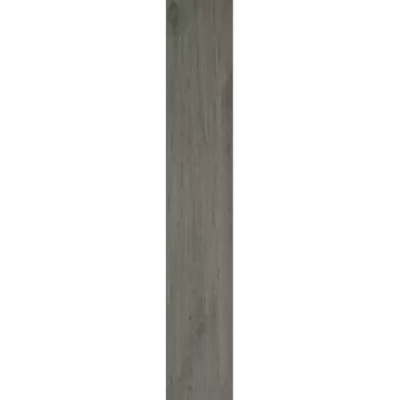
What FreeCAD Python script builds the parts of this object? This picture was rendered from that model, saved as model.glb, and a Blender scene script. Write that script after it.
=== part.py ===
"""A wood look porcelain plank tile: one dry pressed, fired and squared body, lying face up.

The frame has +X across the plank, +Y along it and +Z out of the printed face. Its origin is the centre
of the back, in the plane on which the plank beds. All sizes are in millimetres and degrees.
"""

import FreeCAD, Part
import math
import os
import Sketcher

# Driving dimensions: name, value, and what the value is.
DIMENSIONS = (
    ("plank_width", 200.0, "across the grain, after squaring"),
    ("plank_length", 1200.0, "along the grain, after squaring"),
    ("plank_thickness", 9.0, "from the crest of the back ribs to the face"),
    ("face_bevel", 0.8, "leg of the bevel ground round the printed face"),
    ("back_bevel", 0.5, "leg of the bevel round the back"),
    ("border_land", 8.0, "least width of the flat land round the back cells"),
    ("cell_pitch", 25.0, "spacing of the keying cells, both ways"),
    ("rib_width", 3.0, "width of a rib's crest between two cells"),
    ("rib_height", 0.7, "depth of the keying cells below the crests"),
    ("cell_draft", 35.0, "slope of a cell's walls from the press direction"),
)

NODE = "plank_tile"
FLAT_TOLERANCE = 1e-6
VOLUME_TOLERANCE = 1e-6

# How many cells fit between the border lands, and the size of the field that they make with their ribs.
CELLS_ACROSS = "floor((sizes.plank_width - 2 * sizes.border_land + sizes.rib_width) / sizes.cell_pitch)"
CELLS_ALONG = "floor((sizes.plank_length - 2 * sizes.border_land + sizes.rib_width) / sizes.cell_pitch)"
FIELD_WIDTH = f"({CELLS_ACROSS} * sizes.cell_pitch - sizes.rib_width)"
FIELD_LENGTH = f"({CELLS_ALONG} * sizes.cell_pitch - sizes.rib_width)"
CELL_MOUTH = "sizes.cell_pitch - sizes.rib_width"

# Sketch numbering: a rectangle's four sides, which follow the sketch's own X axis, and a side's two ends.
SKETCH_X_AXIS, BOTTOM, RIGHT, TOP, LEFT = range(-1, 4)
START, END = range(1, 3)


def make_sheet(doc):
    """The spreadsheet of driving dimensions, each value under its own alias."""
    sheet = doc.addObject("Spreadsheet::Sheet", "sizes")
    for row, (name, value, meaning) in enumerate(DIMENSIONS, start=1):
        sheet.set(f"A{row}", name)
        sheet.set(f"B{row}", str(value))
        sheet.setAlias(f"B{row}", name)
        sheet.set(f"C{row}", meaning)
    doc.recompute()
    return sheet


def origin_feature(body, role):
    """One of the body's own origin planes or axes."""
    return next(item for item in body.Origin.OriginFeatures if item.Role == role)


def add_rectangle(body, name, wide, long, left_reach, bottom_reach):
    """A rectangle in the bedding plane, its four distances given by expressions.

    The reaches are the distances from the origin to the left side, towards -X, and to the bottom side,
    towards -Y.
    """
    sketch = body.newObject("Sketcher::SketchObject", name)
    sketch.AttachmentSupport = [(origin_feature(body, "XY_Plane"), "")]
    sketch.MapMode = "FlatFace"
    corners = [FreeCAD.Vector(x, y, 0) for x, y in ((-1, -1), (1, -1), (1, 1), (-1, 1))]
    for start, end in zip(corners, corners[1:] + corners[:1]):
        sketch.addGeometry(Part.LineSegment(start, end), False)
    for side, following in ((BOTTOM, RIGHT), (RIGHT, TOP), (TOP, LEFT), (LEFT, BOTTOM)):
        sketch.addConstraint(Sketcher.Constraint("Coincident", side, END, following, START))
    for side in (BOTTOM, TOP):
        sketch.addConstraint(Sketcher.Constraint("Horizontal", side))
    for side in (RIGHT, LEFT):
        sketch.addConstraint(Sketcher.Constraint("Vertical", side))
    lowest_corner = (BOTTOM, START)
    origin = (SKETCH_X_AXIS, START)
    distances = (
        ("wide", "DistanceX", lowest_corner, (BOTTOM, END), wide),
        ("long", "DistanceY", (RIGHT, START), (RIGHT, END), long),
        ("left_reach", "DistanceX", lowest_corner, origin, left_reach),
        ("bottom_reach", "DistanceY", lowest_corner, origin, bottom_reach),
    )
    for label, kind, start, end, expression in distances:
        index = sketch.addConstraint(Sketcher.Constraint(kind, *start, *end, 1.0))
        sketch.renameConstraint(index, label)
        sketch.setExpression(f"Constraints.{label}", expression)
    return sketch


def add_blank(body):
    """The squared blank: a plain rectangular slab of the plank's full size."""
    outline = add_rectangle(
        body,
        "outline",
        "sizes.plank_width",
        "sizes.plank_length",
        "sizes.plank_width / 2",
        "sizes.plank_length / 2",
    )
    blank = body.newObject("PartDesign::Pad", "blank")
    blank.Profile = outline
    blank.setExpression("Length", "sizes.plank_thickness")
    return blank


def edges_at(shape, height):
    """The names of the edges that lie wholly at a height."""
    return [
        f"Edge{number}"
        for number, edge in enumerate(shape.Edges, start=1)
        if all(abs(vertex.Z - height) < FLAT_TOLERANCE for vertex in edge.Vertexes)
    ]


def add_bevel(body, base, name, height, leg):
    """A bevel of equal legs round the whole outline at a height."""
    bevel = body.newObject("PartDesign::Chamfer", name)
    bevel.Base = (base, edges_at(base.Shape, height))
    bevel.setExpression("Size", leg)
    return bevel


def add_key_cells(body):
    """The waffle of shallow cells in the back, which leaves crossing ribs for the adhesive to grip.

    The cells stand on a square grid centred on the plank, as many as fit inside the border land. Each
    one narrows upwards from its mouth in the bedding plane, so that the press punch comes away.
    """
    mouth = add_rectangle(
        body, "cell_mouth", CELL_MOUTH, CELL_MOUTH, f"{FIELD_WIDTH} / 2", f"{FIELD_LENGTH} / 2"
    )
    corner_cell = body.newObject("PartDesign::Pocket", "corner_cell")
    corner_cell.Profile = mouth
    corner_cell.Reversed = True
    corner_cell.setExpression("Length", "sizes.rib_height")
    corner_cell.setExpression("TaperAngle", "-sizes.cell_draft")

    cells = body.newObject("PartDesign::LinearPattern", "key_cells")
    cells.Originals = [corner_cell]
    cells.Direction = (origin_feature(body, "X_Axis"), [""])
    cells.Direction2 = (origin_feature(body, "Y_Axis"), [""])
    cells.Mode = "Extent"
    cells.Mode2 = "Extent"
    cells.setExpression("Occurrences", CELLS_ACROSS)
    cells.setExpression("Occurrences2", CELLS_ALONG)
    cells.setExpression("Length", f"({CELLS_ACROSS} - 1) * sizes.cell_pitch")
    cells.setExpression("Length2", f"({CELLS_ALONG} - 1) * sizes.cell_pitch")
    cells.Refine = False
    body.Tip = cells
    return cells


def check_features(doc):
    """Stops if a feature failed, which a recompute doesn't report by itself."""
    failed = [item.Name for item in doc.Objects if {"Invalid", "Error"} & set(item.State)]
    if failed:
        raise RuntimeError(f"these features failed: {failed}")


def check_plank(shape, blank_volume, cells, sheet):
    """Stops unless the plank is one valid solid with every keying cell cut to its full volume."""
    if shape.isNull() or not shape.isValid() or len(shape.Solids) != 1:
        raise RuntimeError("the plank isn't one valid solid")
    mouth = sheet.cell_pitch - sheet.rib_width
    floor = mouth - 2 * sheet.rib_height * math.tan(math.radians(sheet.cell_draft))
    one_cell = sheet.rib_height * (mouth**2 + mouth * floor + floor**2) / 3
    expected = cells.Occurrences * cells.Occurrences2 * one_cell
    removed = blank_volume - shape.Volume
    print(f"{cells.Occurrences} x {cells.Occurrences2} cells, {removed:.1f} mm3 of {expected:.1f} mm3 cut")
    if abs(removed - expected) > VOLUME_TOLERANCE * blank_volume:
        raise RuntimeError("the keying cells aren't all cut")


def main():
    doc = FreeCAD.newDocument("plank")
    sheet = make_sheet(doc)
    body = doc.addObject("PartDesign::Body", NODE)
    body.Label = NODE

    blank = add_blank(body)
    doc.recompute()
    face_edge = add_bevel(body, blank, "face_edge", sheet.plank_thickness, "sizes.face_bevel")
    doc.recompute()
    back_edge = add_bevel(body, face_edge, "back_edge", 0.0, "sizes.back_bevel")
    doc.recompute()
    cells = add_key_cells(body)
    doc.recompute()

    check_features(doc)
    check_plank(body.Shape, back_edge.Shape.Volume, cells, sheet)
    os.makedirs("parts", exist_ok=True)
    body.Shape.exportStep(f"parts/{body.Label}.step")


main()
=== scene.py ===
"""Looks of the wood look porcelain plank: a printed and embossed matt glaze on a pressed, ground body.

Lengths in this file are in millimetres unless a name says otherwise, and MM turns them into the scene's
metres. The print is read from the photograph: its strokes, knots and tints are placed in the
photograph's own pixels, of which each is 3 mm on the plank. A whole number is the middle of a pixel.
Tones and tints are in levels of an 8 bit picture.
"""

import math
from typing import NamedTuple

import bpy
import numpy as np
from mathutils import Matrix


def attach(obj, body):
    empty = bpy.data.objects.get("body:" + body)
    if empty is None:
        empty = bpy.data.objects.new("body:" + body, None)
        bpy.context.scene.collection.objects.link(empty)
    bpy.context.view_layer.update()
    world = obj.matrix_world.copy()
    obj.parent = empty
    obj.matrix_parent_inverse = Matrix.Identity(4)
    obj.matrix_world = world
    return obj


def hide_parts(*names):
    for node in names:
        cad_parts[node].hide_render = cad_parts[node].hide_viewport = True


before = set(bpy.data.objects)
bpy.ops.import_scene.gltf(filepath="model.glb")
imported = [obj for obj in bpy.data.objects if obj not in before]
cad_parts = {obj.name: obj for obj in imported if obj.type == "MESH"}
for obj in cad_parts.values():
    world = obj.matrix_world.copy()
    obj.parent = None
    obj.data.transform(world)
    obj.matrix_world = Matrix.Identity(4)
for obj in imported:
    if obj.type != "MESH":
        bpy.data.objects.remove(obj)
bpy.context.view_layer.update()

MM = 0.001
NODE = "plank_tile"
BODY = "root"

# The plank's place in the photograph: its long sides, and its ends, which lie just past the borders.
PHOTO_WIDTH_PX = 400.0
PHOTO_MIDDLE_PX = 199.5
PLANK_LEFT_PX = 165.32
PLANK_RIGHT_PX = 232.52
PLANK_TOP_PX = -2.1
PLANK_BOTTOM_PX = 401.1

# Corners of the frame's mesh that agree to this many decimals of a millimetre are one corner.
WELD_DECIMALS = 4


class Box(NamedTuple):
    """The plank's sizes, read from the frame."""

    half_width: float
    half_length: float
    face_height: float
    side_top: float
    side_bottom: float

    @property
    def bevel(self):
        return self.face_height - self.side_top


def read_frame():
    """The welded mesh of the frame's plank: its corners in millimetres and its triangles."""
    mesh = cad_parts[NODE].data
    loose = np.empty(len(mesh.vertices) * 3)
    mesh.vertices.foreach_get("co", loose)
    loose = (loose.reshape(-1, 3) / MM).round(WELD_DECIMALS)
    corners, welded = np.unique(loose, axis=0, return_inverse=True)
    mesh.calc_loop_triangles()
    triangles = np.empty(len(mesh.loop_triangles) * 3, dtype=int)
    mesh.loop_triangles.foreach_get("vertices", triangles)
    return corners, welded.reshape(-1)[triangles].reshape(-1, 3)


def measure(corners):
    """The plank's sizes from its corners."""
    high = corners.max(axis=0)
    on_side = corners[np.isclose(corners[:, 0], high[0])]
    return Box(*high, on_side[:, 2].max(), on_side[:, 2].min())


def smooth_step(value):
    """0 below 0, 1 above 1, and a smooth rise between."""
    value = np.clip(value, 0.0, 1.0)
    return value * value * (3.0 - 2.0 * value)


def bell(distance):
    """1 at no distance, 0.61 at a distance of 1, and next to nothing from 3 on."""
    return np.exp(-0.5 * distance**2)


def mix(share, first, second):
    """From the first value at a share of 0 to the second at a share of 1."""
    return (1 - share) * first + share * second


class StreakyNoise(NamedTuple):
    """Noise in streaks along the grain: their width and length in pixels, its strength and its seed."""

    width: float
    length: float
    strength: float
    seed: int

    def at(self, px, py):
        """The noise at each place, up to its strength above and below 0.

        Each column has its own values along it, shifted by a phase of its own, so that no two neighbours
        start or end together.
        """
        columns, rows = 512, 64
        rng = np.random.default_rng(self.seed)
        values = rng.uniform(-1.0, 1.0, (columns, rows))
        phases = rng.uniform(0.0, rows, columns)

        def along_column(column):
            place = py / self.length + phases[column]
            row = np.floor(place).astype(int)
            return mix(smooth_step(place - row), values[column, row % rows], values[column, (row + 1) % rows])

        across = px / self.width
        column = np.floor(across).astype(int)
        left = along_column(column % columns)
        right = along_column((column + 1) % columns)
        return self.strength * mix(smooth_step(across - column), left, right)


# The print's broad tone, as levels from its mean: down the plank by row, and across it by column.
# Across it, the darkening towards both long edges is painted shade at the bevel, not print.
MEAN_TONE = 105.4
ROW_TONES = (
    (0, -15.0), (30, -8.0), (70, -4.0), (130, -3.0), (170, 4.0), (200, 5.5), (290, 4.3), (312, 1.5),
    (400, 1.0),
)
# The first and last places here darken the long edges: painted shade at the bevel.
COLUMN_TONES_AND_EDGE_SHADE = (
    (165.3, -15.0), (166.8, -2.0), (178, -0.8), (198, -1.3), (214, -1.2), (220, 3.0), (224, 1.2),
    (229, -3.4), (231.2, -3.0), (232.5, -16.0),
)

# Red over green, and green over blue, from the left side to the right.
RED_OVER_GREEN = ((165.3, -1.0), (172, -0.6), (180, 2.2), (192, 3.4), (208, 3.6), (220, 4.0), (232.5, 3.2))
GREEN_OVER_BLUE = (
    (165.3, 3.0), (167.2, 4.5), (169.5, 8.4), (184, 8.4), (204, 7.8), (222, 7.5), (228, 6.0), (230, 6.4),
    (232.5, 7.5),
)

# Growth bands and fibres that fill the print between the named strokes.
BANDS = (
    StreakyNoise(6.0, 90.0, 2.0, 21),
    StreakyNoise(3.0, 45.0, 1.8, 22),
    StreakyNoise(1.4, 26.0, 1.5, 23),
    StreakyNoise(0.7, 14.0, 1.2, 24),
)

# How the grain wanders sideways, and how a named stroke does. A patch's outline wanders further.
GRAIN_WANDER = (StreakyNoise(22, 60, 0.9, 11), StreakyNoise(7, 22, 0.3, 12))
STROKE_WANDER = StreakyNoise(5, 9, 0.25, 31)
PATCH_WANDER = 2.0

# A stroke fades over this many pixels at each end, or over this share of its length where that is less.
STROKE_END_PX = 4.0
STROKE_END_SHARE = 0.4


class Streak(NamedTuple):
    """A stroke along the grain, darker or lighter than the print round it by its tone."""

    x_top: float
    y_top: float
    x_bottom: float
    y_bottom: float
    half_width: float
    tone: float


class Cloud(NamedTuple):
    """A soft oval of tone and tint: its tone, then more red over green, and more green over blue."""

    x: float
    y: float
    reach_x: float
    reach_y: float
    tone: float
    red: float = 0.0
    yellow: float = 0.0


class Patch(NamedTuple):
    """An area with a crisp outline: its tone, the width over which it fades, and its two sides.

    The outline is a list of heights from its top to its bottom, each with its left and right side.
    """

    tone: float
    fade: float
    outline: tuple


class Knot(NamedTuple):
    """A knot, round which the grain bends: its centre, its half sizes, and how far it pushes the grain."""

    x: float
    y: float
    reach_x: float
    reach_y: float
    push: float


KNOTS = (
    Knot(173.5, 17, 5.5, 17, 3),
    Knot(200, 328.5, 4.6, 8, 2.6),
)

STREAKS = (
    # The first quarter, from the top end.
    Streak(167.8, -6, 167.4, 8, 1, 7),
    Streak(194.8, -4, 195.6, 19, 1.2, -8),
    Streak(199.8, 6, 198.6, 24, 1.4, 5),
    Streak(213.4, 5, 214.4, 36, 0.7, -10),
    Streak(211.8, 6, 212.2, 22, 0.7, 3),
    Streak(217.2, 30, 217.2, 37, 0.6, -8),
    Streak(218, 28, 218, 36, 0.5, 5),
    Streak(219.2, 30, 219.2, 46, 0.8, -7),
    Streak(189.6, 24, 184.9, 35, 1.2, 5),
    Streak(185.6, 32, 183.8, 42, 1, 5),
    Streak(181.8, 33, 182.2, 64, 0.8, -11),
    Streak(179.8, 34, 179.8, 43, 0.7, 12),
    Streak(185.2, 36, 184.4, 62, 1.5, 5),
    Streak(176, 37, 176, 48, 1, -5),
    Streak(189.6, 42, 189.6, 51, 0.8, -8),
    Streak(175, 40, 175.2, 67, 1.2, -6),
    Streak(173.8, 60, 172, 114, 2.4, -4),
    Streak(168.6, 36, 168.6, 130, 1.2, 4),
    Streak(197.4, 43, 197.4, 70, 0.8, -12),
    Streak(197.2, 68, 199.4, 98, 1.1, -7),
    Streak(202, 44, 203, 64, 1.8, 4),
    Streak(202, 64, 202, 80, 1.2, 3),
    Streak(219, 44, 219, 60, 0.8, -14),
    Streak(216.3, 44, 216.9, 73, 0.9, 8),
    Streak(213.9, 44, 214.9, 80, 0.9, -9),
    Streak(218, 56, 218.3, 68, 0.6, -10),
    Streak(226.2, 56, 226.2, 76, 0.8, -6),
    Streak(224.7, 64, 225, 86, 0.7, 7),
    Streak(229.6, 60, 228.8, 74, 1, -5),
    Streak(231.2, 70, 231.8, 102, 1, -5),
    Streak(187.6, 76, 188.6, 90, 1.2, -9),
    Streak(180.8, 84, 180.8, 94, 0.6, -9),
    Streak(182.1, 84, 182.1, 93, 0.5, 10),
    Streak(184.8, 84, 184.8, 95, 1.1, -7),
    Streak(177.4, 90, 177.4, 100, 0.9, 6),
    Streak(203.2, 90, 203, 101, 0.5, -4),
    Streak(204.8, 89, 205.2, 110, 0.8, 7),
    Streak(217.2, 89, 217.2, 101, 0.7, -7),
    Streak(219, 90, 219, 100, 0.6, 4),
    # The second quarter.
    Streak(229.6, 94, 230.6, 160, 2.6, -3),
    Streak(232, 102, 232.2, 126, 0.7, -5),
    Streak(230.6, 110, 230.8, 118, 0.8, 5),
    Streak(230.4, 145, 230.8, 157, 0.7, 9),
    Streak(226.8, 130, 227, 138, 0.9, -5),
    Streak(214.4, 97, 214.7, 123, 0.8, -8),
    Streak(221.9, 92, 222.2, 126, 0.9, -5),
    Streak(210.2, 106, 210.4, 142, 0.9, 7),
    Streak(201, 98, 200.6, 112, 1.1, -6),
    Streak(202.9, 127, 203, 132, 0.5, -10),
    Streak(203.8, 132, 204.2, 141, 0.6, -13),
    Streak(204.4, 138, 206.8, 147, 0.8, -9),
    Streak(205.3, 110, 205.7, 133, 0.8, 10),
    Streak(205.6, 129, 208, 144, 0.8, 8),
    Streak(207.6, 113, 208, 136, 0.8, -8),
    Streak(189.2, 100, 189, 143, 1.2, -3),
    Streak(190.8, 100, 192.4, 117, 0.9, 4),
    Streak(181.3, 130, 181.3, 137, 0.8, -9),
    Streak(189.4, 138, 189.6, 145, 0.8, -6),
    Streak(197.4, 140, 197.4, 149, 0.8, -7),
    Streak(199, 149, 199.4, 160, 0.9, -4),
    Streak(188, 153, 188.4, 162, 0.9, -7),
    Streak(194.4, 155, 194.6, 166, 0.8, -7),
    Streak(192.3, 154, 192.3, 163, 0.9, 6),
    Streak(195.4, 144, 196.2, 157, 0.9, 4),
    Streak(168.6, 128, 168.8, 158, 0.8, 12),
    Streak(171.4, 130, 171.2, 154, 1.1, -6),
    Streak(173.4, 152, 173.6, 164, 1, -10),
    Streak(181.6, 160, 181.5, 189, 0.7, -11),
    Streak(190.2, 165, 190.4, 190, 1, -6),
    Streak(197.4, 165, 197.6, 174, 0.8, 8),
    Streak(221.6, 164, 221.6, 174, 0.8, 8),
    Streak(217.6, 177, 217.6, 186, 0.8, 8),
    Streak(219.1, 177, 219.1, 185, 0.5, -5),
    Streak(214.8, 163, 215, 190, 1.1, -4),
    Streak(212.6, 188, 212.4, 228, 1, -6),
    Streak(218.4, 191, 218.4, 202, 0.8, 5),
    Streak(202.4, 178, 202.6, 200, 0.9, 4),
    Streak(168.2, 193, 168.8, 214, 0.9, -10),
    Streak(174, 174, 174, 198, 0.9, 5),
    Streak(173.6, 203, 174, 218, 1.1, 5),
    # The third quarter.
    Streak(192.2, 200, 192.2, 211, 0.5, 5),
    Streak(193.9, 197, 193.7, 227, 0.6, -12),
    Streak(195.2, 196, 195.2, 228, 0.6, 6),
    Streak(193.8, 222, 193.9, 263, 1.1, -6),
    Streak(200, 198, 200, 228, 0.9, -7),
    Streak(206.8, 198, 206.6, 206, 0.9, -5),
    Streak(181.6, 204, 181.6, 219, 0.7, -8),
    Streak(186.9, 214, 185.8, 222, 0.8, 5),
    Streak(185.8, 218, 185.4, 259, 0.7, 9),
    Streak(184, 217, 183.8, 257, 0.6, -6),
    Streak(187.2, 221, 187, 257, 0.6, -5),
    Streak(177.6, 220, 177.6, 230, 0.9, -9),
    Streak(178.2, 229, 178.4, 238, 0.9, -7),
    Streak(196.2, 233, 196.2, 241, 0.5, -7),
    Streak(199.5, 233, 200.4, 243, 0.8, -7),
    Streak(193.6, 253, 193.6, 263, 0.8, -5),
    Streak(195.2, 253, 195.4, 261, 0.5, 5),
    Streak(197.6, 258, 197.8, 272, 1.3, 5),
    Streak(209.6, 210, 209.6, 221, 0.8, 8),
    Streak(207.9, 209, 207.9, 221, 0.7, -6),
    Streak(210.7, 210, 210.7, 220, 0.6, -4),
    Streak(217, 207, 217, 230, 1.2, 7),
    Streak(214.8, 219, 214.9, 230, 0.6, -6),
    Streak(229, 202, 229, 214, 0.8, -8),
    Streak(230.4, 184, 230.4, 206, 1.2, -4),
    Streak(231.6, 202, 231.8, 220, 0.9, -7),
    Streak(230.5, 221, 231, 243, 1.5, -6),
    Streak(226.5, 208, 226.7, 219, 0.9, 4),
    Streak(213.6, 233, 213.6, 244, 0.9, 6),
    Streak(216.2, 233, 216.2, 244, 0.8, -4),
    Streak(221.7, 241, 221.7, 251, 0.6, 8),
    Streak(213.8, 260, 213.8, 271, 0.5, 8),
    Streak(212.8, 260, 212.8, 270, 0.5, -5),
    Streak(215.8, 257, 215.8, 268, 0.7, -4),
    Streak(217.6, 265, 219.2, 274, 0.6, -18),
    Streak(218.4, 272, 215.6, 276, 0.6, -14),
    Streak(216.6, 273, 218.8, 281, 0.6, -18),
    Streak(184, 269, 184, 282, 0.7, 8),
    Streak(208, 277, 208, 285, 0.5, -5),
    Streak(209.4, 277, 209.4, 286, 0.7, 8),
    Streak(213.6, 284, 213.2, 296, 0.6, -9),
    Streak(214.4, 288, 214.4, 296, 0.5, 13),
    Streak(211.4, 291, 211.4, 301, 0.6, -7),
    Streak(168.2, 279, 168.2, 306, 0.9, 13),
    Streak(170.8, 281, 170.8, 303, 0.9, -8),
    Streak(177.2, 289, 177.2, 299, 0.9, 7),
    Streak(178.4, 257, 178.4, 266, 0.9, 5),
    Streak(218.6, 248, 218.8, 288, 2.2, 4),
    Streak(204.8, 228, 205.2, 302, 2, 3),
    # The last quarter.
    Streak(200.4, 295, 200.4, 307, 0.7, -9),
    Streak(204.9, 294, 205, 304.5, 0.5, -12),
    Streak(207.2, 294, 207.2, 302, 0.5, -6),
    Streak(205.9, 290, 206, 306, 0.7, 12),
    Streak(205.9, 301, 207, 315, 1, 11),
    Streak(205, 302, 205.6, 317, 1, 5),
    Streak(193, 335, 193, 348, 0.5, -9),
    Streak(194, 336, 194, 346, 0.5, 4),
    Streak(195, 336, 195.2, 347, 0.5, -8),
    Streak(187, 351, 187, 357, 0.8, 6),
    Streak(177.8, 298, 177.2, 378, 1.4, 6),
    Streak(177.6, 352, 177.6, 367, 0.8, 4),
    Streak(219.9, 298, 220.6, 378, 1.8, 7),
    Streak(213.2, 311, 213.2, 319, 0.9, -10),
    Streak(216.6, 344, 217.4, 362, 1, -6),
    Streak(218.4, 353, 218.9, 367, 0.9, -8),
    Streak(217.9, 366, 217.6, 380, 0.9, -9),
    Streak(221.7, 377, 221.8, 386, 0.8, 9),
    Streak(225.6, 378, 225.6, 388, 0.9, -8),
    Streak(193.2, 380, 193.4, 390, 0.8, 7),
    Streak(171, 373, 171, 386, 0.9, -11),
    Streak(168.5, 376, 168.5, 386, 0.6, 7),
    Streak(180.8, 378, 180.8, 404, 0.8, -4),
    Streak(173.4, 372, 173.4, 387, 0.8, 5),
    Streak(206.6, 331, 206.8, 342, 0.8, 5),
    Streak(200.4, 352, 200.4, 360, 1, -4),
)

CLOUDS = (
    # The top: the arched shade beside the dark knot, and the blotches round it.
    Cloud(181.4, 18, 3.6, 9, -6.5),
    Cloud(187, 6, 3.5, 5, 5),
    Cloud(170.8, 30, 2.6, 5, -5),
    Cloud(178.6, 29, 2, 5, -4),
    Cloud(174.6, 40, 2.2, 4, -4),
    Cloud(173.2, 15, 3.8, 12, 0, 0, 8.5),
    Cloud(210.5, 14, 2.6, 10, 2),
    Cloud(223, 10, 3.4, 14, -3.5),
    Cloud(204, 30, 1.8, 9, 3.5),
    Cloud(207, 58, 1.8, 7, -4.5),
    Cloud(203, 84, 2.4, 16, 3.5),
    Cloud(230.2, 28, 2.2, 16, 3.5),
    Cloud(230, 0, 2, 4, -4),
    # Tints of the top: greenish at the left and middle, reddish and then olive at the right.
    Cloud(184, 16, 12, 22, 0, -3.4, 0.8),
    Cloud(200, 40, 9, 22, 0, -2.2, 0.8),
    Cloud(199, 6, 5, 8, -2, -2.4, 0.6),
    Cloud(186, 50, 5, 12, 0, -2.2, 0.6),
    Cloud(184, 78, 8, 18, 0, -1.6, 0.4),
    Cloud(215, 14, 7, 14, 0, 1.8, -0.6),
    Cloud(228, 34, 4, 34, 0, 0.8, 3),
    Cloud(181, 60, 3, 6, 0, 2.5),
    Cloud(222, 36, 4, 36, -2.5),
    Cloud(204.4, 22, 4.5, 9, 0, 2, -1),
    # The brown patch below, its warm and greenish surroundings, and the blotches at its height.
    Cloud(226.6, 68, 2.4, 20, 0, 1.8, 1),
    Cloud(231.8, 50, 1.2, 30, 0, -2, 2),
    Cloud(227.6, 92, 3.6, 8, -3.5, 1.6, 2.2),
    Cloud(221, 82, 3, 7.5, 4),
    Cloud(189, 56, 2.6, 6, -4),
    Cloud(224, 101, 1.2, 5, 6),
    Cloud(226.2, 108, 1.8, 10, -6),
    Cloud(168.6, 93, 2.6, 13, -5),
    # The second quarter: blotches, a reddish patch, and the violet shade down the right side.
    Cloud(194.6, 112, 2.4, 14, 4),
    Cloud(205, 118, 12, 22, 0, -1.3),
    Cloud(229.6, 110.5, 1.3, 3, 6),
    Cloud(231, 127, 1.2, 6, 3),
    Cloud(198.6, 136, 2.2, 4, 2.5),
    Cloud(205, 150, 1.4, 6, -5),
    Cloud(219.6, 150, 1.6, 9, 4),
    Cloud(180.4, 154, 1.6, 6, -4),
    Cloud(194, 158, 2.4, 5, 3),
    Cloud(183.5, 109, 1.8, 4, -7),
    Cloud(185.4, 137, 5, 17, -0.5, 3.4, -1),
    Cloud(229, 132, 3.6, 26, 0, 0.6, -1.2),
    Cloud(228, 148, 1.6, 3.8, -12),
    Cloud(181.5, 164.5, 1.2, 1.8, -6),
    Cloud(185.8, 178, 2.2, 8, 5),
    Cloud(208, 176, 14, 28, 0, 2, -0.8),
    Cloud(228.4, 174, 3.6, 18, -6),
    Cloud(230.6, 220, 2.4, 56, -3.5),
    # The third quarter: a grey middle, a reddish right and small blots.
    Cloud(181.8, 268, 2.8, 32, -6.5),
    Cloud(186, 302, 2, 16, 4.5),
    Cloud(197.5, 264, 7, 34, -5, -1.2),
    Cloud(193.6, 210, 0.9, 14, 0, 3),
    Cloud(214.5, 262, 6.5, 34, 0.5, 1.8, -0.6),
    Cloud(209.8, 257, 2.2, 18, 6),
    Cloud(203.6, 214, 1.8, 14, 4),
    Cloud(182, 222, 2.4, 14, 3),
    Cloud(214.6, 226, 1.8, 16, 3.5),
    Cloud(228.6, 234, 1.8, 14, -3.5),
    Cloud(224.6, 208, 1.8, 7, -4.5),
    Cloud(226, 257, 1.6, 13, -3.5),
    Cloud(189.4, 238, 2, 8, -3),
    Cloud(188.6, 274, 2, 4, -4),
    Cloud(191.6, 281, 2.2, 4, -5),
    Cloud(214.4, 274, 1, 3.4, 6),
    Cloud(209, 295, 1.2, 5, 5.5),
    Cloud(183, 306, 1.3, 8, -4),
    Cloud(174.6, 296, 1.6, 8, -3.5),
    Cloud(166.8, 284, 1, 24, 3),
    Cloud(205, 281, 2.4, 4, -3),
    Cloud(213.6, 305, 2.8, 8, -6.5),
    Cloud(197.8, 236, 1.2, 5, 3),
    Cloud(193.4, 291, 1.8, 1.4, -9),
    Cloud(193, 295, 2.8, 4, -5),
    Cloud(174.2, 265, 2.4, 11, -4.5, 0.4),
    # Round the second knot: the shade above it, its right wing, specks at its left, and blotches.
    Cloud(200.2, 330, 4, 7, 0, 0.4, 1.8),
    Cloud(186, 318, 1.5, 9, 3.5),
    Cloud(189, 311, 1.4, 4, -3.5),
    Cloud(177, 314, 1.2, 4, 4),
    Cloud(174, 330, 1.6, 7, 4),
    Cloud(212, 332, 3.6, 11, -4),
    Cloud(169, 347, 1.4, 16, 3.5),
    Cloud(199.6, 309, 3.6, 6, -6.5),
    Cloud(200.5, 319, 4.5, 5, -3),
    Cloud(193.6, 315.4, 3, 1.4, -6),
    Cloud(193.8, 322.6, 1.8, 1.2, -4),
    Cloud(190.8, 331, 2.2, 6, -7),
    Cloud(192.2, 332.3, 0.6, 0.9, 16),
    Cloud(192.2, 335.2, 0.9, 1.6, -8),
    # Below it: the violet tail, the shade at its left, and the marks near the bottom end.
    Cloud(195.6, 345, 5.2, 9, -4, 0.8, -5.6),
    Cloud(196.6, 361, 5, 7, 0, 0, -2.5),
    Cloud(186.6, 345, 4, 8, -5),
    Cloud(206, 342, 1.4, 8, 4),
    Cloud(190.6, 369.4, 0.9, 2.4, -9),
    Cloud(178.6, 378, 1.2, 2, -5),
    Cloud(189.4, 377.6, 2.4, 4, -3),
    Cloud(190.2, 394.4, 0.9, 1.8, -8),
    Cloud(187, 397.6, 0.9, 2.4, -5),
    Cloud(184.2, 397, 1.2, 3, 6),
    # Tints of the last quarter, and the dark corner at the bottom left.
    Cloud(214, 340, 8, 34, 0, -1.4, 0.4),
    Cloud(214, 370, 5, 10, 0.5, 0, 1.4),
    Cloud(211.5, 360, 3.4, 18, 3),
    Cloud(204.4, 362, 3, 12, 2.5),
    Cloud(196.5, 377, 3, 5, 2),
    Cloud(196.2, 371, 1.8, 3.5, 4),
    Cloud(202, 391.5, 3, 3, -3),
    Cloud(212, 391.5, 2.4, 4, -4.5),
    Cloud(199, 398, 8, 6, 5),
    Cloud(224.3, 356, 1.6, 12, 3.5),
    Cloud(228.8, 368, 1.8, 8, -4),
    Cloud(215.8, 396, 2, 6, 6),
    Cloud(220.6, 393, 1.8, 6, -4),
    Cloud(230.8, 389, 1.2, 4, 6),
    Cloud(201, 390, 13, 16, 0, 0.4, -3.6),
    Cloud(200, 378, 7, 16, 3.5),
    Cloud(186, 376, 6, 20, -0.5, -2.6, 2.6),
    Cloud(226.5, 342, 4, 36, 4, 0, -0.8),
    Cloud(226.5, 394, 5, 6, -5, 0.6),
    Cloud(184, 392, 6, 7, -3),
    Cloud(168, 394, 2.4, 7, -8),
)

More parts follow.
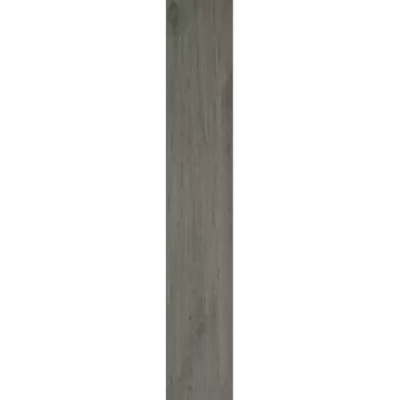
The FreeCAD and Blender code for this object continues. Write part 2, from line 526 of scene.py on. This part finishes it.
PATCHES = (
    # The dark knot at the top left with its tail, and its two cores.
    Patch(-15.5, 3.4, (
        (0, 170.4, 172.4), (2, 170.2, 174.8), (4, 170, 177), (8, 168, 178.4),
        (12, 167.4, 178.4), (20, 167.6, 177.8), (24, 170.4, 177.6), (28, 171.2, 176.4),
        (33, 172.4, 177.2), (37, 175.6, 178),
    )),
    Patch(-4, 2.5, ((3, 171, 177), (9, 169.6, 174.6))),
    Patch(-10, 3, ((15, 174.2, 177), (20, 171.8, 177.4), (27.5, 173, 176.4))),
    # The arch that bounds its shade, and the fainter shade outside it.
    Patch(-2, 2.4, ((0, 178, 196.6), (16, 178, 194), (24, 178, 189.6), (34, 177, 183.6))),
    Patch(-3.5, 2, ((17, 193.4, 197.6), (25, 190.6, 197.6), (30, 188.6, 197.6), (45, 188.6, 197.2))),
    # The brown patch that opens downwards at the right side, and its paler foot.
    Patch(-8, 1.6, (
        (66, 231, 233), (72, 229.6, 233), (78, 226.6, 233), (84, 223.8, 233),
        (90, 221, 233), (93, 220.1, 233), (107, 220.3, 233),
    )),
    Patch(-3, 2, ((106, 224.4, 233), (119, 224.6, 233))),
    # The light band beside it, the dark wedge that leads into the hook, and the pale block at its left.
    Patch(6, 1.3, (
        (95, 215.5, 220.2), (124, 215.5, 220.6), (129, 216.6, 221.2), (131, 217.4, 223),
        (137, 218.6, 221.6),
    )),
    Patch(-4.5, 2, (
        (110, 196.4, 202.4), (118, 197, 203.8), (124, 199.8, 204.4), (131, 201.6, 204.4),
    )),
    Patch(4, 1.5, ((131, 192.4, 200.6), (144, 192.4, 199))),
    # The pin knot above the second knot, and that knot: its core, its foot and its right wing.
    Patch(-22, 1, (
        (314.9, 189.1, 189.9), (316.4, 188.4, 190.6), (318.6, 188.4, 190.6), (320.1, 189.1, 189.9),
    )),
    Patch(-14, 2.4, (
        (321.6, 199.2, 203.6), (326, 197.8, 204.4), (330, 196, 204.2), (334, 196.4, 202.4),
    )),
    Patch(-8, 2.4, ((334, 196.4, 202.4), (337, 197.8, 201.8), (340, 199, 201))),
    Patch(-5, 2, ((325, 203.2, 205), (330, 203.6, 207.2), (334, 202, 204.6))),
    # The beak shaped mark near the bottom end.
    Patch(-5, 1.6, (
        (384.6, 185.2, 191.6), (387.4, 184.2, 191.8), (389.6, 188.4, 191.6), (391, 189.6, 191),
    )),
    Patch(-9, 1.2, ((385.6, 188.6, 191.7), (388.6, 188.8, 191.7), (391.2, 188.6, 190))),
    # The broad wedge below the second knot, upright at its right and slanting at its left.
    Patch(-6.5, 1.8, (
        (354, 186, 191.2), (361, 184, 191.6), (372, 180.2, 192), (376.5, 178.8, 191),
        (379, 177.8, 183), (382, 177.2, 179.6),
    )),
)


def photo_place(box, x, y):
    """Where a place on the plank shows in the photograph, in its pixels."""
    px = PLANK_LEFT_PX + (x / box.half_width + 1) / 2 * (PLANK_RIGHT_PX - PLANK_LEFT_PX)
    py = PLANK_BOTTOM_PX - (y / box.half_length + 1) / 2 * (PLANK_BOTTOM_PX - PLANK_TOP_PX)
    return px, py


def read_along(points, place):
    """A tone that changes smoothly from one listed place to the next."""
    places, tones = np.array(points, float).T
    index = np.clip(np.searchsorted(places, place) - 1, 0, len(places) - 2)
    share = smooth_step((place - places[index]) / (places[index + 1] - places[index]))
    return mix(share, tones[index], tones[index + 1])


def away_from(spot, px, py):
    """How far each place is from a knot's or cloud's centre, across and along, in its own reaches."""
    return (px - spot.x) / spot.reach_x, (py - spot.y) / spot.reach_y


# The grain bends round a knot: how abruptly, and how far out, in the knot's half sizes.
BEND_STEEPNESS = 1.4
BEND_REACH_ACROSS = 2.4
BEND_REACH_ALONG = 1.6


def bend_grain(px, py):
    """The grain's own across coordinate, in pixels: it wanders slowly and is pushed aside by the knots."""
    across = px
    for wander in GRAIN_WANDER:
        across = across + wander.at(px, py)
    for knot in KNOTS:
        away_x, away_y = away_from(knot, px, py)
        fade = bell(away_y / BEND_REACH_ALONG) * bell(away_x / BEND_REACH_ACROSS)
        across = across - knot.push * np.tanh(BEND_STEEPNESS * away_x) * fade
    return across


# A knot's rings, in its half sizes: their reach, and the distance given where no knot is near.
RING_REACH = 0.75
NO_KNOT = 9.0


def knot_rings(px, py):
    """The distance from the nearest knot's middle, one at its rim, and how strongly its rings show."""
    distances = [np.hypot(*away_from(knot, px, py)) for knot in KNOTS]
    nearest = np.minimum(NO_KNOT, np.min(distances, axis=0))
    return nearest, bell(nearest / RING_REACH)


def stroke(streak, px, py):
    """How strongly a streak shows at each place: full on its middle line, fading at its flanks and ends."""
    length = streak.y_bottom - streak.y_top
    run = (py - streak.y_top) / length
    middle = mix(run, streak.x_top, streak.x_bottom)
    fade = min(STROKE_END_PX, STROKE_END_SHARE * length) / length
    ends = smooth_step(run / fade) * smooth_step((1 - run) / fade)
    return ends * bell((px - middle) / streak.half_width)


def patch_shape(patch, px, py):
    """1 inside a patch and 0 outside, with a narrow fade centred on its outline."""
    heights, left_sides, right_sides = np.array(patch.outline).T
    shape = np.ones(px.shape)
    for inwards in (
        px - np.interp(py, heights, left_sides),
        np.interp(py, heights, right_sides) - px,
        py - heights[0],
        heights[-1] - py,
    ):
        shape = shape * smooth_step(inwards / patch.fade + 0.5)
    return shape


def tint_levels(tone, red, yellow):
    """The three channels of a mean tone, from its red over green and its green over blue."""
    green = tone - (red - yellow) / 3
    return np.stack([green + red, green, green - yellow], axis=-1)


class Print(NamedTuple):
    """The print at each place: its colours without and with the strokes, its grain and its relief."""

    ground: np.ndarray
    seen: np.ndarray
    across: np.ndarray
    relief_tone: np.ndarray


def paint(box, x, y):
    """The print at each place on the plank, with painted shade darkening its long edges."""
    px, py = photo_place(box, x, y)
    across = bend_grain(px, py)
    wander = STROKE_WANDER.at(px, py)
    # The column tones also paint the shade that darkens both long edges.
    tone = read_along(ROW_TONES, py) + read_along(COLUMN_TONES_AND_EDGE_SHADE, px)
    red = read_along(RED_OVER_GREEN, px)
    yellow = read_along(GREEN_OVER_BLUE, px)
    strokes = np.zeros(px.shape)
    for streak in STREAKS:
        strokes += streak.tone * stroke(streak, px + wander, py)
    for patch in PATCHES:
        strokes += patch.tone * patch_shape(patch, px + PATCH_WANDER * wander, py)
    for cloud in CLOUDS:
        away_x, away_y = away_from(cloud, px + wander, py)
        shape = bell(away_x) * bell(away_y)
        tone += cloud.tone * shape
        red += cloud.red * shape
        yellow += cloud.yellow * shape
    bands = sum(band.at(across, py) for band in BANDS)
    ground = MEAN_TONE + tone + bands
    return Print(
        tint_levels(ground, red, yellow),
        tint_levels(ground + strokes, red, yellow),
        across,
        strokes + BANDS_IN_RELIEF * bands,
    )


def linear(levels):
    """Linear light from the levels of an 8 bit sRGB picture."""
    share = np.clip(np.asarray(levels, float) / 255.0, 0.0, 1.0)
    return np.where(share <= 0.04045, share / 12.92, ((share + 0.055) / 1.055) ** 2.4)


# What the matt glaze reflects by itself, in linear light.
GLAZE_SHEEN = 0.035


def pigment(seen):
    """The glaze's own colour, which shows as the seen one once the glaze's sheen lies over it."""
    return np.clip(linear(seen) - GLAZE_SHEEN, 0.0, 1.0)


class Shell:
    """Gathers the plank's corners, faces and each face's material."""

    def __init__(self):
        self.corners = []
        self.faces = []
        self.materials = []

    def add_corners(self, corners):
        """Adds corners, and returns the number of the first."""
        first = sum(map(len, self.corners))
        self.corners.append(np.asarray(corners, float))
        return first

    def add_faces(self, faces, material):
        faces = list(faces)
        self.faces.extend(faces)
        self.materials.extend([material] * len(faces))


# The plank's materials, in the order of its slots.
FACE, EDGE, BACK = range(3)

# The embossed face: cells across and along its grid, and the depth from its crests to its hollows.
CELLS_ACROSS = 264
CELLS_ALONG = 304
RELIEF_DEPTH = 0.16

# How much closer the grid's rows lie at the knots, how far that reaches, in pixels, and the steps for
# each row in which it is added up.
ROWS_AT_KNOTS = 1.6
KNOT_ROWS_REACH_PX = 16.0
STEPS_PER_ROW = 20

# How much more than the strokes the bands shape the relief, and the tone that brings it nearly to a
# crest or hollow.
BANDS_IN_RELIEF = 1.6
RELIEF_TONE = 6.0


def grid_axes(box):
    """The face grid's lines across and along the plank, inside the bevel and closer at the knots."""
    inner_x = box.half_width - box.bevel
    inner_y = box.half_length - box.bevel
    fine = np.linspace(-inner_y, inner_y, STEPS_PER_ROW * CELLS_ALONG + 1)
    _, rows_px = photo_place(box, 0.0, fine)
    density = np.ones(fine.shape)
    for knot in KNOTS:
        density += ROWS_AT_KNOTS * bell((rows_px - knot.y) / KNOT_ROWS_REACH_PX)
    count = np.concatenate([[0.0], np.cumsum((density[1:] + density[:-1]) / 2)])
    along = np.interp(np.linspace(0.0, count[-1], CELLS_ALONG + 1), count, fine)
    return np.linspace(-inner_x, inner_x, CELLS_ACROSS + 1), along


def relief_of(tone):
    """The depth below the plank's top plane, from the print's own tone: dark fibres lie deeper."""
    return RELIEF_DEPTH * (0.5 - 0.5 * np.tanh(tone / RELIEF_TONE))


def add_face(shell, box, x, y, relief):
    """The embossed face, whose outer line slides out and down on the bevel's plane where it lies deep.

    Returns its outer corners, one list for each side, anticlockwise seen from above.
    """
    z = box.face_height - relief
    x[:, 0] -= relief[:, 0]
    x[:, -1] += relief[:, -1]
    y[0, :] -= relief[0, :]
    y[-1, :] += relief[-1, :]
    first = shell.add_corners(np.stack([x, y, z], axis=-1).reshape(-1, 3))
    numbers = first + np.arange(x.size).reshape(x.shape)
    quads = np.stack([numbers[:-1, :-1], numbers[:-1, 1:], numbers[1:, 1:], numbers[1:, :-1]], axis=-1)
    shell.add_faces(quads.reshape(-1, 4).tolist(), FACE)
    return [side.tolist() for side in (numbers[0, :], numbers[:, -1], numbers[-1, ::-1], numbers[::-1, 0])]


def add_bevel(shell, box, rim):
    """The ground bevel, from the face's outer line to the top of the sides, and its lower corners."""
    face_corners = np.concatenate(shell.corners)
    half = np.array([box.half_width, box.half_length])
    found = {}
    lower_rim = []
    for side, out_axis in zip(rim, (1, 0, 1, 0)):
        row = []
        for number in side:
            spot = face_corners[number][:2]
            at_end = number in (side[0], side[-1])
            goes_out = [at_end or axis == out_axis for axis in range(2)]
            key = tuple(np.where(goes_out, np.sign(spot) * half, spot))
            if key not in found:
                found[key] = shell.add_corners([(*key, box.side_top)])
            row.append(found[key])
        lower_rim.append(row)
        shell.add_faces(zip(row, row[1:], side[1:], side), EDGE)
    return lower_rim


def add_back(shell, corners, triangles, box):
    """The back as pressed: the frame's own land, keying cells and lower bevel, without its sides.

    Returns the four corners at the foot of the sides, by the signs of their places.
    """
    low = corners[triangles][:, :, 2].max(axis=1) < (box.side_bottom + box.side_top) / 2
    used, renumbered = np.unique(triangles[low], return_inverse=True)
    first = shell.add_corners(corners[used])
    shell.add_faces((first + renumbered.reshape(-1, 3)).tolist(), BACK)
    foot = {}
    for number, corner in enumerate(corners[used], start=first):
        if np.allclose(np.abs(corner), (box.half_width, box.half_length, box.side_bottom)):
            foot[tuple(np.sign(corner[:2]))] = number
    return foot


def add_sides(shell, lower_rim, foot):
    """The four ground sides: fans from the two lower corners of each to the bevel's many."""
    signs = ((-1, -1), (1, -1), (1, 1), (-1, 1))
    for row, start, end in zip(lower_rim, signs, signs[1:] + signs[:1]):
        middle = len(row) // 2
        steps = list(zip(row[1:], row))
        shell.add_faces([(foot[start], *step) for step in steps[:middle]], EDGE)
        shell.add_faces([(foot[start], foot[end], row[middle])], EDGE)
        shell.add_faces([(foot[end], *step) for step in steps[middle:]], EDGE)


# The bake map, in shares of its square: the face takes most of it, then the back, then the thin sides.
MAP_MARGIN = 0.004
FACE_MAP_WIDTH = 0.62
BACK_MAP_WIDTH = 0.26
SIDE_MAP_WIDTH = 0.022


def map_face(points, material, box):
    """The places in the bake map of one face's corners."""
    across = (points[:, 0] / box.half_width + 1) / 2
    along = (points[:, 1] / box.half_length + 1) / 2
    if material == FACE:
        u, run = across * FACE_MAP_WIDTH, along
    elif material == BACK:
        u, run = FACE_MAP_WIDTH + MAP_MARGIN + (1 - across) * BACK_MAP_WIDTH, along
    else:
        x, y, _ = points.mean(axis=0)
        on_long_side = box.half_width - abs(x) < box.half_length - abs(y)
        column = int(x > 0) if on_long_side else 2 + int(y > 0)
        side_left = FACE_MAP_WIDTH + BACK_MAP_WIDTH + 2 * MAP_MARGIN + column * (SIDE_MAP_WIDTH + MAP_MARGIN)
        u = side_left + points[:, 2] / box.face_height * SIDE_MAP_WIDTH
        run = along if on_long_side else across
    return MAP_MARGIN + np.stack([u, run * (1 - 2 * MAP_MARGIN)], axis=-1)


def add_figure(mesh, corners, box):
    """Gives each corner its colour, its place in the grain, and its knot rings and strokes."""
    x, y = corners[:, 0], corners[:, 1]
    printed = paint(box, x, y)
    ground, seen = pigment(printed.ground), pigment(printed.seen)
    mm_per_px = 2 * box.half_width / (PLANK_RIGHT_PX - PLANK_LEFT_PX)
    stroke_share = seen.mean(axis=1) / ground.mean(axis=1) - 1.0
    # The print attribute also carries the painted shade at the long edges.
    for name, kind, field, parts in (
        ("print", "FLOAT_COLOR", "color", (*ground.T, np.ones(len(corners)))),
        ("grain", "FLOAT_VECTOR", "vector", (printed.across * mm_per_px, y, np.zeros(len(corners)))),
        ("marks", "FLOAT_VECTOR", "vector", (*knot_rings(*photo_place(box, x, y)), stroke_share)),
    ):
        values = np.stack(parts, axis=-1)
        mesh.attributes.new(name, kind, "POINT").data.foreach_set(field, values.reshape(-1))


def add_object(name, data):
    """A new object in the scene."""
    added = bpy.data.objects.new(name, data)
    bpy.context.collection.objects.link(added)
    return added


def make_plank():
    """The whole plank as one closed mesh, with the print and the grain as attributes of its corners."""
    frame_corners, triangles = read_frame()
    box = measure(frame_corners)
    x, y = np.meshgrid(*grid_axes(box))
    shell = Shell()
    rim = add_face(shell, box, x, y, relief_of(paint(box, x, y).relief_tone))
    lower_rim = add_bevel(shell, box, rim)
    foot = add_back(shell, frame_corners, triangles, box)
    add_sides(shell, lower_rim, foot)

    corners = np.concatenate(shell.corners)
    mesh = bpy.data.meshes.new("plank")
    mesh.from_pydata((corners * MM).tolist(), [], shell.faces)
    mesh.polygons.foreach_set("material_index", shell.materials)
    mesh.polygons.foreach_set("use_smooth", [material == FACE for material in shell.materials])
    places = [map_face(corners[list(face)], kind, box) for face, kind in zip(shell.faces, shell.materials)]
    mesh.uv_layers.new(name="OFBake").data.foreach_set("uv", np.concatenate(places).reshape(-1))
    add_figure(mesh, corners, box)
    mesh.update()
    mesh.validate()
    return add_object("plank", mesh), box


class Texture(NamedTuple):
    """A noise: its waves for a unit of each coordinate, and as a tone its share below and above 1."""

    waves: tuple
    detail: float = 2.0
    roughness: float = 0.5
    share: float = 0.0


# Where nearly all values of a noise texture lie.
NOISE_RANGE = (0.3, 0.7)


class Nodes:
    """A material's or world's node tree, with short calls for the few kinds of node used here."""

    def __init__(self, owner):
        owner.use_nodes = True
        self.tree = owner.node_tree

    @property
    def shader(self):
        return self.tree.nodes["Principled BSDF"]

    def add(self, kind, **settings):
        node = self.tree.nodes.new(kind)
        for name, value in settings.items():
            setattr(node, name, value)
        return node

    def fill(self, kind, **inputs):
        """A new node with these constant inputs."""
        node = self.add(kind)
        for name, value in inputs.items():
            node.inputs[name].default_value = value
        return node

    def link(self, source, target):
        self.tree.links.new(source, target)

    def attribute(self, name):
        return self.add("ShaderNodeAttribute", attribute_name=name)

    def split(self, vector):
        """The three parts of a vector."""
        node = self.add("ShaderNodeSeparateXYZ")
        self.link(vector, node.inputs[0])
        return node.outputs

    def noise(self, vector, texture):
        """A texture's noise, between about 0 and 1."""
        scaled = self.add("ShaderNodeVectorMath", operation="MULTIPLY")
        self.link(vector, scaled.inputs[0])
        scaled.inputs[1].default_value = texture.waves
        inputs = {"Scale": 1.0, "Detail": texture.detail, "Roughness": texture.roughness}
        node = self.fill("ShaderNodeTexNoise", **inputs)
        self.link(scaled.outputs[0], node.inputs["Vector"])
        return node.outputs["Fac"]

    def spread(self, value, low, high, out_low, out_high):
        """The value stretched from one range to another, and held at its ends."""
        limits = {"From Min": low, "From Max": high, "To Min": out_low, "To Max": out_high}
        node = self.fill("ShaderNodeMapRange", **limits)
        self.link(value, node.inputs["Value"])
        return node.outputs["Result"]

    def tone(self, noise, texture):
        """A texture's noise as a tone, from its share below 1 to its share above."""
        return self.spread(noise, *NOISE_RANGE, 1 - texture.share, 1 + texture.share)

    def math(self, operation, first, second=None):
        """A sum of one or two values, each a socket or a number."""
        node = self.add("ShaderNodeMath", operation=operation)
        for socket, value in zip(node.inputs, (first, second)):
            if isinstance(value, (int, float)):
                socket.default_value = value
            elif value is not None:
                self.link(value, socket)
        return node.outputs[0]

    def times(self, first, second):
        return self.math("MULTIPLY", first, second)

    def shade(self, colour, factor):
        """The colour multiplied by a grey factor."""
        node = self.add("ShaderNodeVectorMath", operation="SCALE")
        self.link(colour, node.inputs[0])
        self.link(factor, node.inputs["Scale"])
        return node.outputs[0]

    def blend(self, factor, first, second):
        """A mix of two colours, each a socket or a linear colour."""
        node = self.add("ShaderNodeMix", data_type="RGBA")
        self.link(factor, node.inputs["Factor"])
        for name, value in (("A", first), ("B", second)):
            socket = next(item for item in node.inputs if item.name == name and item.type == "RGBA")
            if isinstance(value, tuple):
                socket.default_value = (*value, 1.0)
            else:
                self.link(value, socket)
        return next(item for item in node.outputs if item.type == "RGBA")

    def bump(self, height, distance_mm, strength):
        node = self.fill("ShaderNodeBump", Distance=distance_mm * MM, Strength=strength)
        self.link(height, node.inputs["Height"])
        self.link(node.outputs["Normal"], self.shader.inputs["Normal"])

    def finish(self, kind, share, first, second):
        """Ends the tree in an output of this kind: the first shader at a share of 0, the second at 1."""
        mixer = self.add("ShaderNodeMixShader")
        for socket, value in zip(mixer.inputs, (share, first, second)):
            self.link(value, socket)
        self.link(mixer.outputs[0], self.add(kind).inputs["Surface"])


# Textures of the print, in waves for a millimetre across the grain and along it.
BUNDLES = Texture((1.0, 0.028, 0.0), 4.0, 0.7)
LINES = Texture((0.42, 0.011, 0.0), 5.0, 0.62, 0.12)
FIBRES = Texture((1.5, 0.024, 0.0), 4.0, 0.65, 0.14)
HAIRS = Texture((4.2, 0.08, 0.0), 2.0, 0.5, 0.09)
DOTS = Texture((5.0, 4.0, 0.0), 1.0, 0.5, 0.04)
PORES = Texture((2.4, 0.12, 0.0), 1.0)
PORE_GROUPS = Texture((0.2, 0.006, 0.0), 1.0)
RING_WOBBLE = Texture((0.1, 0.03, 0.0), 3.0)
SHEEN_MOTTLE = Texture((0.05, 0.02, 0.0))

# Bundles of fibres in a stroke: the range of their noise, and how unevenly they take its tone.
BUNDLE_RANGE = (0.36, 0.64)
BUNDLE_UNEVENNESS = 0.75

# Pores: the range of their noise and of their groups', the share left outside the groups, how many more
# a dark stroke has, and the tones beside a pore and in one.
PORE_RANGE = (0.61, 0.69)
PORE_GROUP_RANGE = (0.38, 0.62)
PORES_OUTSIDE_GROUPS = 0.1
PORES_IN_DARK = 2.0
PORE_TONES = (1.02, 0.66)

# Knot rings: radians from a knot's middle to its rim, how many the wobble adds, and the tone's share.
RING_RADIANS = 30.0
WOBBLE_RADIANS = 16.0
RING_SHARE = 0.1

# The glaze's roughness, what a pore adds to it, and its fine relief. A bump is a depth in millimetres and
# a strength.
GLAZE_ROUGHNESS = (0.5, 0.6)
PORE_ROUGHNESS = 0.15
FIBRE_HEIGHT = 0.8
HAIR_HEIGHT = 0.4
PORE_DEPTH = 0.9
GLAZE_BUMP = (0.08, 0.6)


def stroke_tone(nodes, grain, stroke_share, ring_strength):
    """The tone of a named stroke: a bundle of fibres that take it unevenly, and less so in a knot."""
    bundle = nodes.spread(nodes.noise(grain, BUNDLES), *BUNDLE_RANGE, -BUNDLE_UNEVENNESS, BUNDLE_UNEVENNESS)
    unevenness = nodes.times(bundle, nodes.math("SUBTRACT", 1.0, ring_strength))
    bundle_share = nodes.math("ADD", unevenness, 1.0)
    return nodes.math("ADD", nodes.times(stroke_share, bundle_share), 1.0)


def open_pores(nodes, grain, stroke_share):
    """Open pores: short dashes, in loose groups, and more of them where the print is dark."""
    groups = nodes.spread(nodes.noise(grain, PORE_GROUPS), *PORE_GROUP_RANGE, PORES_OUTSIDE_GROUPS, 1.0)
    crowd = nodes.math("SUBTRACT", groups, nodes.times(stroke_share, PORES_IN_DARK))
    dashes = nodes.spread(nodes.noise(grain, PORES), *PORE_RANGE, 0.0, 1.0)
    return nodes.times(dashes, nodes.spread(crowd, 0.0, 1.0, 0.0, 1.0))


def ring_tone(nodes, grain, ring, ring_strength):
    """The tone of the rings round a knot's middle, which wobble and fade out past its rim."""
    wobble = nodes.times(nodes.noise(grain, RING_WOBBLE), WOBBLE_RADIANS)
    wave = nodes.math("SINE", nodes.math("ADD", nodes.times(ring, RING_RADIANS), wobble))
    return nodes.spread(nodes.times(wave, ring_strength), -1.0, 1.0, 1 - RING_SHARE, 1 + RING_SHARE)


def glaze_material():
    """The printed matt glaze: the mesh's figure, with the fibres, pores, rings and fine dots of the print."""
    material = bpy.data.materials.new("printed_glaze")
    nodes = Nodes(material)
    colour = nodes.attribute("print").outputs["Color"]
    grain = nodes.attribute("grain").outputs["Vector"]
    ring, ring_strength, stroke_share = nodes.split(nodes.attribute("marks").outputs["Vector"])
    lines, fibres, hairs, dots = [nodes.noise(grain, texture) for texture in (LINES, FIBRES, HAIRS, DOTS)]
    pores = open_pores(nodes, grain, stroke_share)
    for tone in (
        stroke_tone(nodes, grain, stroke_share, ring_strength),
        nodes.tone(lines, LINES),
        nodes.tone(fibres, FIBRES),
        nodes.tone(hairs, HAIRS),
        nodes.tone(dots, DOTS),
        nodes.spread(pores, 0.0, 1.0, *PORE_TONES),
        ring_tone(nodes, grain, ring, ring_strength),
    ):
        colour = nodes.shade(colour, tone)
    nodes.link(colour, nodes.shader.inputs["Base Color"])

    mottle = nodes.spread(nodes.noise(grain, SHEEN_MOTTLE), *NOISE_RANGE, *GLAZE_ROUGHNESS)
    roughness = nodes.math("ADD", mottle, nodes.times(pores, PORE_ROUGHNESS))
    nodes.link(roughness, nodes.shader.inputs["Roughness"])
    ridges = nodes.math("ADD", nodes.times(fibres, FIBRE_HEIGHT), nodes.times(hairs, HAIR_HEIGHT))
    nodes.bump(nodes.math("SUBTRACT", ridges, nodes.times(pores, PORE_DEPTH)), *GLAZE_BUMP)
    return material


# Textures of the body, in waves for a metre.
GRANULES = Texture((2600, 2600, 2600), 2.0, 0.5, 0.14)
SPECKS = Texture((1500, 1500, 1500), 0.0)
FAINT_CLOUDS = Texture((90, 90, 90), 3.0, 0.5, 0.04)
GRINDING_MARKS = Texture((6, 6, 3600), 3.0, 0.6, 0.1)
WASH_PATCHES = Texture((55, 25, 55), 4.0, 0.65)
GRIT = Texture((900, 900, 900))

# The body: the range of its specks' noise, a speck's tone, and how far its colours reach from the mean.
SPECK_RANGE = (0.68, 0.76)
SPECK_TONE = 0.6
BODY_SPAN = 0.5

# The ground body, darker than such a body usually is so that the bevel shows as a dark rim: partly the body's
# own colour, partly painted shade.
GROUND_BODY_AND_RIM_SHADE = tuple(linear((98, 93, 86)))
ENGOBE = tuple(linear((146, 141, 132)))
PRESSED_BODY = tuple(linear((150, 142, 131)))
KILN_WASH = tuple(linear((196, 192, 184)))

# Down the bevel from the face: where the glaze gives way to the pale engobe, and that to the body.
GLAZE_THICKNESS = 0.18
ENGOBE_THICKNESS = 0.14
LAYER_FADE = 0.03
EDGE_ROUGHNESS = (0.55, 0.68)
EDGE_BUMP = (0.03, 0.4)

# The kiln wash on the back: how deep from the ribs' crests, its patches' noise, and how well they cover.
WASH_REACH = 0.25
WASH_RANGE = (0.38, 0.6)
WASH_COVER = (0.1, 0.85)
BACK_ROUGHNESS = 0.8
BACK_BUMP = (0.06, 0.5)


def body_colour(nodes, place, colour, extra_tone=None):
    """The pressed powder in a colour: fine granules, a few dark specks and faint clouds."""
    granules = nodes.tone(nodes.noise(place, GRANULES), GRANULES)
    clouds = nodes.tone(nodes.noise(place, FAINT_CLOUDS), FAINT_CLOUDS)
    specks = nodes.spread(nodes.noise(place, SPECKS), *SPECK_RANGE, 1.0, SPECK_TONE)
    tone = nodes.times(nodes.times(granules, clouds), specks)
    if extra_tone is not None:
        tone = nodes.times(tone, extra_tone)
    darkest = tuple(part * (1 - BODY_SPAN) for part in colour)
    lightest = tuple(part * (1 + BODY_SPAN) for part in colour)
    return nodes.blend(nodes.spread(tone, 1 - BODY_SPAN, 1 + BODY_SPAN, 0.0, 1.0), darkest, lightest)


def edge_material(box):
    """The squared sides and bevel: ground body with fine grinding marks, under the glaze's cut edge."""
    material = bpy.data.materials.new("ground_edge")
    nodes = Nodes(material)
    place = nodes.add("ShaderNodeTexCoord").outputs["Object"]
    height = nodes.split(place)["Z"]
    marks = nodes.noise(place, GRINDING_MARKS)
    # The body's colour on the sides and bevel is partly painted shade on the rim.
    colour = body_colour(nodes, place, GROUND_BODY_AND_RIM_SHADE, nodes.tone(marks, GRINDING_MARKS))
    glaze_low = box.face_height - GLAZE_THICKNESS
    for low, layer in ((glaze_low - ENGOBE_THICKNESS, ENGOBE), (glaze_low, GROUND_BODY_AND_RIM_SHADE)):
        above = nodes.spread(height, (low - LAYER_FADE) * MM, (low + LAYER_FADE) * MM, 0.0, 1.0)
        colour = nodes.blend(above, colour, layer)
    nodes.link(colour, nodes.shader.inputs["Base Color"])
    nodes.link(nodes.spread(marks, *NOISE_RANGE, *EDGE_ROUGHNESS), nodes.shader.inputs["Roughness"])
    nodes.bump(marks, *EDGE_BUMP)
    return material


def back_material():
    """The pressed back: bare body, with white kiln wash worn on to the crests of the ribs."""
    material = bpy.data.materials.new("pressed_back")
    nodes = Nodes(material)
    place = nodes.add("ShaderNodeTexCoord").outputs["Object"]
    body = body_colour(nodes, place, PRESSED_BODY)
    crest = nodes.spread(nodes.split(place)["Z"], 0.0, WASH_REACH * MM, 1.0, 0.0)
    wash = nodes.times(crest, nodes.spread(nodes.noise(place, WASH_PATCHES), *WASH_RANGE, *WASH_COVER))
    nodes.link(nodes.blend(wash, body, KILN_WASH), nodes.shader.inputs["Base Color"])
    nodes.shader.inputs["Roughness"].default_value = BACK_ROUGHNESS
    nodes.bump(nodes.noise(place, GRIT), *BACK_BUMP)
    return material


# The floor's half size in metres and its grey. The camera sees a darker grey, which still takes the
# shadow, and a glow that brings it up to white.
FLOOR_HALF_M = 12.0
FLOOR_GREY = (0.8, 0.8, 0.8, 1.0)
FLOOR_SHADOW_GREY = (0.28, 0.28, 0.28, 1.0)
FLOOR_GLOW = 0.76

WHITE = (1.0, 1.0, 1.0, 1.0)
SKY_LIGHT = 0.62


def make_floor():
    """A wide pale floor, white to the camera apart from the soft shadow on it."""
    corners = [(x * FLOOR_HALF_M, y * FLOOR_HALF_M, 0) for x, y in ((-1, -1), (1, -1), (1, 1), (-1, 1))]
    mesh = bpy.data.meshes.new("floor")
    mesh.from_pydata(corners, [], [(0, 1, 2, 3)])
    floor = add_object("floor", mesh)
    material = bpy.data.materials.new("pale_floor")
    nodes = Nodes(material)
    nodes.tree.nodes.clear()
    camera_ray = nodes.add("ShaderNodeLightPath").outputs["Is Camera Ray"]
    plain = nodes.fill("ShaderNodeBsdfDiffuse", Color=FLOOR_GREY)
    seen = nodes.add("ShaderNodeAddShader")
    nodes.link(nodes.fill("ShaderNodeBsdfDiffuse", Color=FLOOR_SHADOW_GREY).outputs[0], seen.inputs[0])
    nodes.link(nodes.fill("ShaderNodeEmission", Strength=FLOOR_GLOW).outputs[0], seen.inputs[1])
    nodes.finish("ShaderNodeOutputMaterial", camera_ray, plain.outputs[0], seen.outputs[0])
    floor.data.materials.append(material)


def make_world():
    """An even studio: a soft white surround, seen as plain white."""
    world = bpy.data.worlds.new("studio")
    bpy.context.scene.world = world
    nodes = Nodes(world)
    nodes.tree.nodes.clear()
    rays = nodes.add("ShaderNodeLightPath").outputs
    shown = nodes.math("MAXIMUM", rays["Is Camera Ray"], rays["Is Glossy Ray"])
    surround = nodes.fill("ShaderNodeBackground", Color=WHITE, Strength=SKY_LIGHT)
    backdrop = nodes.fill("ShaderNodeBackground", Color=WHITE, Strength=1.0)
    nodes.finish("ShaderNodeOutputWorld", shown, surround.outputs[0], backdrop.outputs[0])


class Sun(NamedTuple):
    """A soft lamp: its azimuth is from +X towards +Y, and all three angles are in degrees."""

    name: str
    strength: float
    azimuth: float
    elevation: float
    softness: float


SUNS = (
    Sun("key", 1.25, 135.0, 50.0, 25.0),
    Sun("fill", 0.35, -40.0, 40.0, 40.0),
)


def add_sun(sun):
    light = bpy.data.lights.new(sun.name, "SUN")
    light.energy = sun.strength
    light.angle = math.radians(sun.softness)
    lamp = add_object(sun.name, light)
    lamp.rotation_euler = (0.0, math.radians(90.0 - sun.elevation), math.radians(sun.azimuth))


LENS_MM = 135.0
SENSOR_MM = 36.0


def make_camera(box):
    """A long lens high above the face, which fits the plank's length to the photograph's height."""
    camera_data = bpy.data.cameras.new("camera")
    camera_data.lens = LENS_MM
    camera_data.sensor_width = SENSOR_MM
    camera = add_object("camera", camera_data)
    mm_per_px = 2 * box.half_length / (PLANK_BOTTOM_PX - PLANK_TOP_PX)
    distance = mm_per_px * PHOTO_WIDTH_PX * LENS_MM / SENSOR_MM
    offset_px = PHOTO_MIDDLE_PX - (PLANK_LEFT_PX + PLANK_RIGHT_PX) / 2
    camera.location = (offset_px * mm_per_px * MM, 0.0, (box.face_height + distance) * MM)
    bpy.context.scene.camera = camera


def main():
    plank, box = make_plank()
    for material in (glaze_material(), edge_material(box), back_material()):
        plank.data.materials.append(material)
    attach(plank, BODY)
    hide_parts(NODE)
    make_floor()
    make_world()
    for sun in SUNS:
        add_sun(sun)
    make_camera(box)
    bpy.context.scene.view_settings.view_transform = "Standard"


main()
